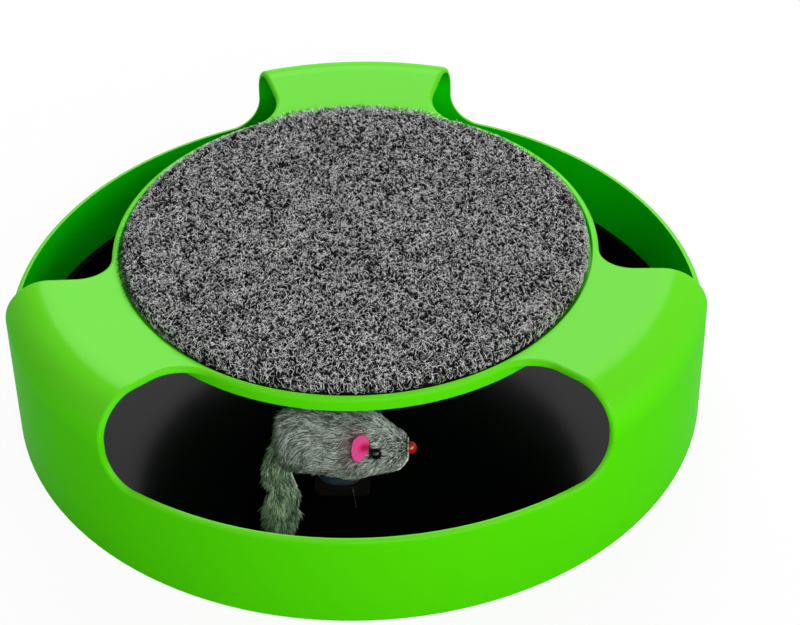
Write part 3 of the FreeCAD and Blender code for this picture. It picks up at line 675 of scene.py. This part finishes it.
# body: circles round the axis whose radius follows the sections, less the depth of the fur
def makeMouseBody(m, hide):
    first, last = m["sections"][0][0] * mm, m["sections"][-1][0] * mm
    s = np.linspace(0, math.pi, m["rows"])
    x = first + (last - first) * (0.5 - 0.5 * np.cos(s))
    r = np.maximum(bodyRadius(x) - through(m["furDepth"], x / mm) * mm, 0.15 * mm)
    a = np.linspace(0, 2 * math.pi, m["cols"], endpoint=False)
    wave = 1 + m["swell"] * (lattice(x[:, None] * 0.3 + 0.1, a[None] * 3 * mm, 2 * mm, 5) - 0.5)
    y = -m["orbit"] + r[:, None] * wave * np.cos(a)
    z = np.maximum(bodyAxis(x)[:, None] + r[:, None] * wave * np.sin(a), armTop + m["bellyRise"])
    rings = np.stack([np.repeat(x[:, None], len(a), 1), y, z], -1)
    closedSkin("mouse_hide", onArm(rings), hide, "rotor", replaces=("mouse_body",))


# the ear's frame on one side: its middle over the fur, its directions to the front, up and outwards
def earFrame(side):
    c, s = math.cos(ear["angle"]), math.sin(ear["angle"])
    radius = float(bodyRadius(np.array([ear["x"]]))[0]) + ear["rise"]
    height = float(bodyAxis(np.array([ear["x"]]))[0])
    middle = np.array([ear["x"], -mouse["orbit"] + side * radius * c, height + radius * s])
    out = np.array([0, side * c, s])
    up = np.array([0, -side * s, c])
    front = np.array([1.0, 0, 0]) * math.cos(ear["flare"]) - out * math.sin(ear["flare"])
    out = out * math.cos(ear["flare"]) + np.array([1.0, 0, 0]) * math.sin(ear["flare"])
    c, s = math.cos(ear["lean"]), math.sin(ear["lean"])
    return middle, front * c - up * s, front * s + up * c, out


# a band across the ear, 1 at its line and 0 away from it by a bell curve, which fades to the back
def earBand(u, v, line, width, fade, level):
    return np.exp(-((v - line - ear["slant"] * u) / width) ** 2) * np.clip(u / fade + level, 0, 1)


# ear: an oval sheet, its outer face from the middle to the rim and its inner face back again; both
# rise towards the rim by a square, and a narrow valley runs from the middle to the front edge
def makeEar(name, side, node, felt):
    middle, front, up, out = earFrame(side)
    share = np.linspace(0.03, 0.96, ear["rows"])
    share = np.concatenate([share, [1.0], np.linspace(0.96, 0.03, ear["rows"])])
    a = np.linspace(0, 2 * math.pi, ear["cols"], endpoint=False)
    ragged = 1 + 0.02 * np.sin(7 * a + 1) + 0.015 * np.sin(13 * a)
    u = share[:, None] * np.cos(a) * ear["width"] / 2 * ragged
    v = share[:, None] * np.sin(a) * ear["height"] / 2 * ragged
    u = u * (1 + ear["widening"] * v / ear["height"])
    outer = (np.arange(len(share)) <= ear["rows"])[:, None]
    half = ear["thickness"] / 2 * np.sqrt(np.clip(1 - share ** 6, 0, 1))[:, None]
    cup = ear["cup"] * (share ** 2)[:, None] * (1 - ear["cupFront"] * np.cos(a))[None] - ear["cup"] * 0.5
    lift = cup - ear["crease"] * earBand(u, v, *ear["valley"]) + np.where(outer, half, -half)
    rings = middle + u[..., None] * front + v[..., None] * up + lift[..., None] * out
    # painted shade along the crease on the outer face
    fold = np.concatenate([(earBand(u, v, *ear["shadow"]) * outer).ravel(), [0.2, 0.0]])
    closedSkin(name, onArm(rings), felt, "rotor", {"fold": fold}, replaces=(node,))


# a direction less a share of what points out of the surface
def alongSkin(direction, normal, share):
    return direction - normal * (direction * normal).sum(-1, keepdims=True) * share


hair = {
    "rootDepth": 0.3,       # millimetres under the hide
    "lift": (0.5, 0.12),    # share of the direction out of the hide, at the root and further out
    "droop": 0.2,
    "strayOut": 1.3,        # times as much stray further out
    "bend": 0.35,           # share of the length up to the bend, and from it to the next point
    "tip": 0.65,            # share of the length from the bend to the tip
}


# hairs from their roots: each starts between the comb's direction and the surface's, then bends
# towards the comb and droops along the surface
def hairPaths(rng, root, normal, comb, length, loose):
    stray = alongSkin(rng.normal(0, loose, (len(root), 3)), normal, 0.6)
    droop = alongSkin(np.array([[0, 0, -hair["droop"]]]), normal, 1.0)
    start = unit(comb + normal * hair["lift"][0] + stray)
    later = unit(comb + normal * hair["lift"][1] + droop + stray * hair["strayOut"])
    middle = root + start * length * hair["bend"]
    return np.stack([root - normal * hair["rootDepth"] * mm, middle, middle + later * length * hair["bend"],
                     middle + later * length * hair["tip"]], 1)


# roots of hairs at places along the body and angles round it, with the slope of the body's radius
# and the direction out of the hide there
def hairRoots(m, x, a):
    r = np.maximum(bodyRadius(x) - through(m["furDepth"], x / mm) * mm, 0.2 * mm)
    step = 0.2 * mm
    slope = (bodyRadius(x + step) - bodyRadius(x - step)) / (2 * step)
    normal = unit(np.stack([-slope, np.cos(a), np.sin(a)], -1))
    return np.stack([x, -m["orbit"] + r * np.cos(a), bodyAxis(x) + r * np.sin(a)], -1), slope, normal


# the comb's direction: to the rump along the hide, turned aside by lattice noise that neighbours
# share, and more and more downwards over the rump
def combedBack(m, x, a, slope, normal):
    back = unit(np.stack([-np.ones(len(x)), -slope * np.cos(a), -slope * np.sin(a)], -1))
    around = np.stack([np.zeros(len(x)), -np.sin(a), np.cos(a)], -1)
    sway = sum(turn * (lattice(x, a * m["girth"] * mm, size, seed) - 0.5) for turn, size, seed in m["locks"])
    fall = np.clip((-x / mm - m["fallStart"]) / m["fallOver"], 0, 1)[:, None]
    lessBack, lessAside, down = m["fall"]
    comb = back * (1 - lessBack * fall) + around * sway[:, None] * (1 - lessAside * fall)
    return unit(alongSkin(comb + np.array([[0, 0, -down]]) * fall, normal, 0.9))


# which hairs stay clear of both ears, and how much painted pink shade from the ear each takes: a bell curve
# over how far out in the ear's oval it stands
def nearEars(path):
    clear, dye = np.ones(len(path), bool), np.zeros(len(path))
    (under, over), (_, place, spread) = ear["bareDepth"], ear["dye"]
    for side in (-1, 1):
        middle, front, up, out = earFrame(side)
        u, v, w = ((path - middle) @ direction for direction in (front, up, out))
        oval = (u / ear["width"]) ** 2 + (v / ear["height"]) ** 2
        clear &= ~((oval < ear["bareShare"]) & (w > under) & (w < over)).any(1)
        bell = np.exp(-((oval[:, 1] - place) / spread) ** 2)
        dye = np.maximum(dye, np.where(np.abs(w[:, 1]) < over, bell, 0))
    return clear, dye


# fur: roots spread evenly over the body; hairs that would cross an eye, an ear, the nose or the
# arm are left out
def makeMouseFur(m, finish):
    beads = []
    for node, gap in (("mouse_eye_left", "eyeGap"), ("mouse_eye_right", "eyeGap"), ("mouse_nose", "noseGap")):
        low, high = (np.array(corner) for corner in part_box(node))
        beads.append(((low + high) / 2, float(max(high - low)) / 2 + m[gap]))
    grid = np.linspace(m["sections"][0][0], m["sections"][-1][0], 400) * mm
    weight = np.cumsum((bodyRadius(grid) + 0.3 * mm) * np.hypot(1, np.gradient(bodyRadius(grid), grid)))
    tone, size, seed = m["patches"]
    for tuft in range(m["tufts"]):
        rng = np.random.default_rng(200 + tuft)
        n = m["hairsPerTuft"]
        x = np.interp(rng.random(n) * weight[-1], weight, grid)
        a = rng.random(n) * 2 * math.pi
        root, slope, normal = hairRoots(m, x, a)
        comb = combedBack(m, x, a, slope, normal)
        length = through(m["furLength"], x / mm)[:, None] * mm * rng.uniform(*m["lengthSpread"], (n, 1))
        path = hairPaths(rng, root, normal, comb, length, m["loose"])
        keep, dye = nearEars(path)
        keep &= (path[:, :, 2].min(1) > armTop + m["armGap"]) & (x < m["furEnd"])
        path = onArm(path)
        for centre, radius in beads:
            keep &= np.linalg.norm(path - centre, axis=-1).min(1) > radius
        thick = rng.uniform(*m["hairThickness"], n)[keep]
        patch = lattice(x, a * m["girth"] * mm, size, seed) - 0.5
        shade = np.clip(rng.random(n) * 0.9 + tone * patch, 0, 1)[keep]
        # painted pink shade from the ear, of random strength on each hair
        dye = (dye * rng.random(n) * ear["dye"][0])[keep]
        strandMesh("mouse_fur_" + str(tuft + 1), path[keep], np.stack([thick, thick * 0.75], -1),
                   {"shade": shade, "dye": dye}, finish, "rotor")


# cut edge of the hide at the muzzle; its distances are in millimetres, its angles in degrees
cutEdge = {
    "stops": 200,
    "roundShare": 0.45,     # of each half goes round the muzzle, and the rest back along the jaw
    "sweep": 142,           # from the top of the muzzle down each side
    "jawTurn": 14,          # further down along the jaw
    "front": 20.2,
    "jawLength": 6.9,
    "over": (0.3, -0.35),   # beyond the body's radius in front, and the change along the jaw
    "radius": 0.1,
    "lowerRadius": 0.24,    # more at the lower side, and less of that along the jaw
    "jawThinning": 0.45,
    "uneven": 0.11,
    "least": 0.03,
    "jitter": 0.05,
}


# an uneven cord round the muzzle, and back along the jaw on both sides
def makeCutEdge(e, leather):
    s = np.linspace(-1, 1, e["stops"])
    jaw = np.clip((np.abs(s) - e["roundShare"]) / (1 - e["roundShare"]), 0, 1)
    sweep = e["sweep"] * np.clip(s / e["roundShare"], -1, 1)
    turn = np.radians(90 - sweep + e["jawTurn"] * jaw * np.sign(-s))
    x = (e["front"] - e["jawLength"] * jaw ** 0.85) * mm
    r = bodyRadius(x) + (e["over"][0] + e["over"][1] * jaw) * mm
    line = np.stack([x, -mouse["orbit"] - r * np.cos(turn), bodyAxis(x) + r * np.sin(turn)], -1)
    rng = np.random.default_rng(31)
    line += rng.normal(0, e["jitter"] * mm, line.shape)
    lower = e["lowerRadius"] * np.clip(0.4 - np.sin(turn), 0, 1) * (1 - e["jawThinning"] * jaw)
    uneven = e["uneven"] * np.sin(23 * s) * np.sin(61 * s)
    thick = np.maximum(e["radius"] + lower + uneven, e["least"]) * mm
    tubeSkin("muzzle_cut_edge", onArm(line), thick, 10, leather, "rotor")


# tail: a flat strip along a line that falls from the rump to the tray, in millimetres, each list
# at shares of its length
tail = {
    "root": (-24.0, 22.7),  # along the body, and height
    "line": [(0.0, 0.2, -4.4), (0.1, 1.0, -1.2), (0.19, 2.2, 2.2), (0.33, 4.8, 6.6), (0.56, 11.5, 10.4),
             (0.8, 18.4, 13.9), (1.0, 22.6, 15.6)],     # share, outwards, down
    "aside": [(0.0, 2.4), (0.1, 0.6), (0.2, -0.5), (0.28, -0.5), (0.38, 0.7), (0.48, 1.2), (0.6, 1.6),
              (0.8, 1.5), (1.0, 1.6)],
    "halfWidth": [(0.0, 2.0), (0.1, 3.2), (0.2, 3.7), (0.28, 3.5), (0.36, 3.0), (0.46, 4.4), (0.58, 5.3),
                  (0.72, 4.3), (0.9, 3.7), (1.0, 3.0)],
    "halfThickness": [(0.0, 1.8), (0.15, 1.9), (0.3, 1.2), (0.5, 1.9), (0.85, 1.7), (1.0, 0.8)],
    "rows": 60,
    "cols": 48,
    "hairs": 9000,
    "hairLength": [(0.0, 4.6), (0.3, 4.8), (0.6, 5.2), (0.85, 3.9), (1.0, 2.6)],
    "lengthSpread": (0.6, 1.1),
    "loose": 0.17,
    "spread": (20, 5),  # of the noise below, along the strip and round it
    "locks": (1.1, 3.0 * mm, 41),  # turn, size and seed of noise on the comb
    "patches": (0.5, 1.6 * mm, 42),  # tone, size and seed
    "floorGap": 2.3 * mm,  # of hairs above the tray's underside
    "swing": 25,  # degrees that it turns about its root, each way
    "platform": (-12.3, 10.6),  # edge of the platform along the body, and its front
    "cutEdge": (0.25, 0.42),  # shares between which the hide's cut edge shows
    "cutAside": 1.5 * mm,
    "cutOut": 0.6 * mm,
    "cutRadius": 0.32 * mm,
}


# the strip at shares of its length: its middle, its directions along, across and outwards, its half
# width and its half thickness
def tailStrip(share):
    step = 0.01
    ends = []
    for s in (share, np.clip(share - step, 0, 1), np.clip(share + step, 0, 1)):
        out = through([(k, o) for k, o, d in tail["line"]], s) * mm
        down = through([(k, d) for k, o, d in tail["line"]], s) * mm
        aside = through(tail["aside"], s) * mm
        ends.append(np.stack([tail["root"][0] * mm + aside, -mouse["orbit"] - out,
                              tail["root"][1] * mm - down], -1))
    along = unit(ends[2] - ends[1])
    outwards = unit(np.cross(along, np.array([[-1.0, 0, 0]])))
    across = unit(np.cross(outwards, along))
    wide, deep = (through(tail[key], share) * mm for key in ("halfWidth", "halfThickness"))
    return ends[0], along, across, outwards, wide, deep


# hide: ovals across the strip, drawn in towards both ends
def makeTailHide(hide):
    share = 0.5 - 0.5 * np.cos(np.linspace(0.08, math.pi - 0.08, tail["rows"]))
    centre, _, across, outwards, wide, deep = tailStrip(share)
    a = np.linspace(0, 2 * math.pi, tail["cols"], endpoint=False)
    end = np.sqrt(np.clip(1 - (2 * share - 1) ** 12, 0.02, 1))
    rings = (centre[:, None] + across[:, None] * ((wide * end)[:, None] * np.cos(a))[..., None]
             + outwards[:, None] * ((deep * end)[:, None] * np.sin(a))[..., None])
    closedSkin("tail_hide", onArm(rings), hide, "tail", replaces=("mouse_tail",))


# which hairs would meet the platform with the tail swung towards it: their points, turned about the
# root, are then past its edge along the body, behind its front and under its top
def nearPlatform(path):
    swing, edge = math.radians(tail["swing"]), tail["platform"]
    east, north = path[:, :, 0] - tail["root"][0] * mm, path[:, :, 1] + mouse["orbit"]
    under = tail["root"][0] * mm + east * math.cos(swing) - north * math.sin(swing) > edge[0] * mm
    under &= east * math.sin(swing) + north * math.cos(swing) > -edge[1] * mm
    under &= path[:, :, 2] < armTop + mouse["armGap"]
    return under.any(1)


# fur: roots spread over the strip and combed to its end; hairs that would touch the tray or the
# platform are left out
def makeTailFur(rng, finish):
    n = tail["hairs"]
    s = rng.random(n) * 0.97
    a = rng.random(n) * 2 * math.pi
    centre, along, across, outwards, wide, deep = tailStrip(s)
    root = centre + across * (wide * np.cos(a))[:, None] + outwards * (deep * np.sin(a))[:, None]
    normal = unit(across * (np.cos(a) * deep)[:, None] + outwards * (np.sin(a) * wide)[:, None])
    place = s * tail["spread"][0] * mm, a * tail["spread"][1] * mm
    turn, size, seed = tail["locks"]
    sway = (lattice(*place, size, seed) - 0.5)[:, None]
    comb = unit(along + across * sway * turn + normal * 0.15)
    length = through(tail["hairLength"], s)[:, None] * mm * rng.uniform(*tail["lengthSpread"], (n, 1))
    path = hairPaths(rng, root, normal, comb, length, tail["loose"])
    near = nearPlatform(path)
    keep = (path[:, :, 2].min(1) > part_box("base_tray")[0][2] + tail["floorGap"]) & ~near
    print("tail hairs kept", keep.sum(), "near the platform", near.sum())
    thick = rng.uniform(*mouse["hairThickness"], n)[keep]
    tone, size, seed = tail["patches"]
    shade = np.clip(rng.random(n) * 0.9 + tone * (lattice(*place, size, seed) - 0.5), 0, 1)[keep]
    strandMesh("tail_fur", onArm(path[keep]), np.stack([thick, thick * 0.75], -1),
               {"shade": shade, "dye": np.zeros(len(thick))}, finish, "tail")


# cut edge of the hide: a cord beside the strip
def makeTailCutEdge(rng, leather):
    stops = 40
    centre, _, across, outwards, wide, _ = tailStrip(np.linspace(*tail["cutEdge"], stops))
    side = np.sign(across[0, 0])
    line = centre + side * across * (wide + tail["cutAside"])[:, None] + outwards * tail["cutOut"]
    line += rng.normal(0, 0.04 * mm, line.shape)
    tubeSkin("tail_cut_edge", onArm(line), np.full(stops, tail["cutRadius"]), 10, leather, "tail")


# thread of glue: it leaves the top of the platform near its front edge and hangs down; its keys are
# along the body, across it and above the arm, in millimetres like its radius
glueThread = {
    "keys": [(1.2, -76.4, 0.2), (1.5, -77.6, 0.22), (1.7, -78.35, -0.1), (1.9, -78.5, -1.6),
             (2.1, -78.5, -3.6), (2.3, -78.45, -5.6), (2.5, -78.4, -7.4)],
    "stops": 40,
    "radius": 0.24,
    "taper": 0.14,
    "drop": 0.08,       # at its end
    "dropLength": 0.06,
}


def makeGlueThread(g, glue):
    keys = np.array(g["keys"]) * mm
    s = np.linspace(0, 1, g["stops"])
    places = np.linspace(0, 1, len(keys))
    line = np.stack([through(np.stack([places, keys[:, k]], -1), s) for k in range(3)], -1)
    line[:, 2] += armTop
    thick = (g["radius"] - g["taper"] * s + g["drop"] * np.exp(-((s - 1) / g["dropLength"]) ** 2)) * mm
    tubeSkin("glue_thread", onArm(line), thick, 12, glue, "rotor")


hide = mottled("fur_hide", {"IOR": 1.45, "Specular IOR Level": 0.2}, (0.012, 0.014, 0.012),
               (0.05, 0.058, 0.05), (500, 4, 0.6), (0.85, 0.1, 300), (1500, 4, 0.7, 0.6, 0.0008))
leather = mottled("cut_leather", {"IOR": 1.45, "Specular IOR Level": 0.3}, (0.6, 0.6, 0.54),
                  (0.95, 0.95, 0.88), (900, 4, 0.6), (0.7, 0.2, 600), (2200, 3, 0.7, 0.4, 0.0004))
felt = feltFinish()
fur = furFinish("mouse_fur", (0.012, 0.015, 0.012), (0.7, 0.8, 0.71), (0.96, 1.0, 0.95))
# the tail's hair colours carry painted green light bounced from the moulding, so they are greener than the
# body's
tailFurGreenBounce = furFinish("tail_fur", (0.008, 0.018, 0.008), (0.44, 0.68, 0.4), (0.78, 0.98, 0.7))
makeMouseBody(mouse, hide)
makeMouseFur(mouse, fur)
makeEar("ear_felt_right", -1, "mouse_ear_right", felt)
makeEar("ear_felt_left", 1, "mouse_ear_left", felt)
makeCutEdge(cutEdge, leather)
makeTailHide(hide)
tailDraws = np.random.default_rng(310)
makeTailFur(tailDraws, tailFurGreenBounce)
makeTailCutEdge(tailDraws, leather)
makeGlueThread(glueThread, finishes["hot_glue"])
print("mouse made")


# studio: pale floor, white backdrop and soft lamps
studio = {
    "floorColor": (0.86, 0.86, 0.86),
    "floorReach": 4.0,
    "floorGlow": 0.93,      # share of white that rays from the camera see in the floor
    "worldLight": 0.24,
    # name, place, point that it is aimed at, size and watts
    "lamps": [("back_softbox", (0.05, 1.5, 1.25), (0, 0, 0.05), (1.5, 1.1), 33),
              ("right_softbox", (1.3, -1.1, 1.2), (0, 0, 0.03), (1.0, 1.0), 15),
              ("front_fill", (0.4, -1.75, 1.0), (0, 0, 0.04), (1.1, 0.6), 14)],
}


# 1 for rays that come straight from the camera, by way of gloss or through something clear
def seenRay(tree):
    ray = tree.nodes.new("ShaderNodeLightPath")
    socket = ray.outputs["Is Camera Ray"]
    for other in ("Is Glossy Ray", "Is Transmission Ray"):
        most = tree.nodes.new("ShaderNodeMath")
        most.operation = "MAXIMUM"
        tree.links.new(socket, most.inputs[0])
        tree.links.new(ray.outputs[other], most.inputs[1])
        socket = most.outputs[0]
    return socket


def makeBackdrop(s):
    world = bpy.data.worlds.new("studio")
    bpy.context.scene.world = world
    world.use_nodes = True
    tree = world.node_tree
    tree.nodes.clear()
    out = tree.nodes.new("ShaderNodeOutputWorld")
    back = tree.nodes.new("ShaderNodeBackground")
    back.inputs["Color"].default_value = (1.0, 1.0, 1.0, 1.0)
    level = tree.nodes.new("ShaderNodeMapRange")
    level.inputs["To Min"].default_value = s["worldLight"]
    level.inputs["To Max"].default_value = 1.0
    tree.links.new(seenRay(tree), level.inputs["Value"])
    tree.links.new(level.outputs[0], back.inputs["Strength"])
    tree.links.new(back.outputs[0], out.inputs[0])


def makeFloor(s):
    reach = s["floorReach"]
    mesh = bpy.data.meshes.new("floor")
    mesh.from_pydata([(-reach, -reach, 0), (reach, -reach, 0), (reach, reach, 0), (-reach, reach, 0)], [],
                     [(0, 1, 2, 3)])
    floor = bpy.data.objects.new("floor", mesh)
    bpy.context.scene.collection.objects.link(floor)
    f = Finish("pale_floor", {"Base Color": s["floorColor"], "Roughness": 0.9, "Specular IOR Level": 0.1})
    glow = f.tree.nodes.new("ShaderNodeEmission")
    glow.inputs["Strength"].default_value = 1.0
    mix = f.tree.nodes.new("ShaderNodeMixShader")
    share = Wire(f, seenRay(f.tree)) * s["floorGlow"]
    f.tree.links.new(share.socket, mix.inputs[0])
    f.tree.links.new(f.shader.outputs[0], mix.inputs[1])
    f.tree.links.new(glow.outputs[0], mix.inputs[2])
    f.tree.links.new(mix.outputs[0], f.out.inputs[0])
    mesh.materials.append(f.mat)


def softLamp(name, place, aim, size, watts):
    data = bpy.data.lights.new(name, "AREA")
    data.shape = "RECTANGLE"
    data.size, data.size_y = size
    data.energy = watts
    piece = bpy.data.objects.new(name, data)
    piece.location = place
    piece.rotation_euler = (Vector(place) - Vector(aim)).to_track_quat("Z", "Y").to_euler()
    bpy.context.scene.collection.objects.link(piece)


makeBackdrop(studio)
makeFloor(studio)
for lamp in studio["lamps"]:
    softLamp(*lamp)
print("studio lit")
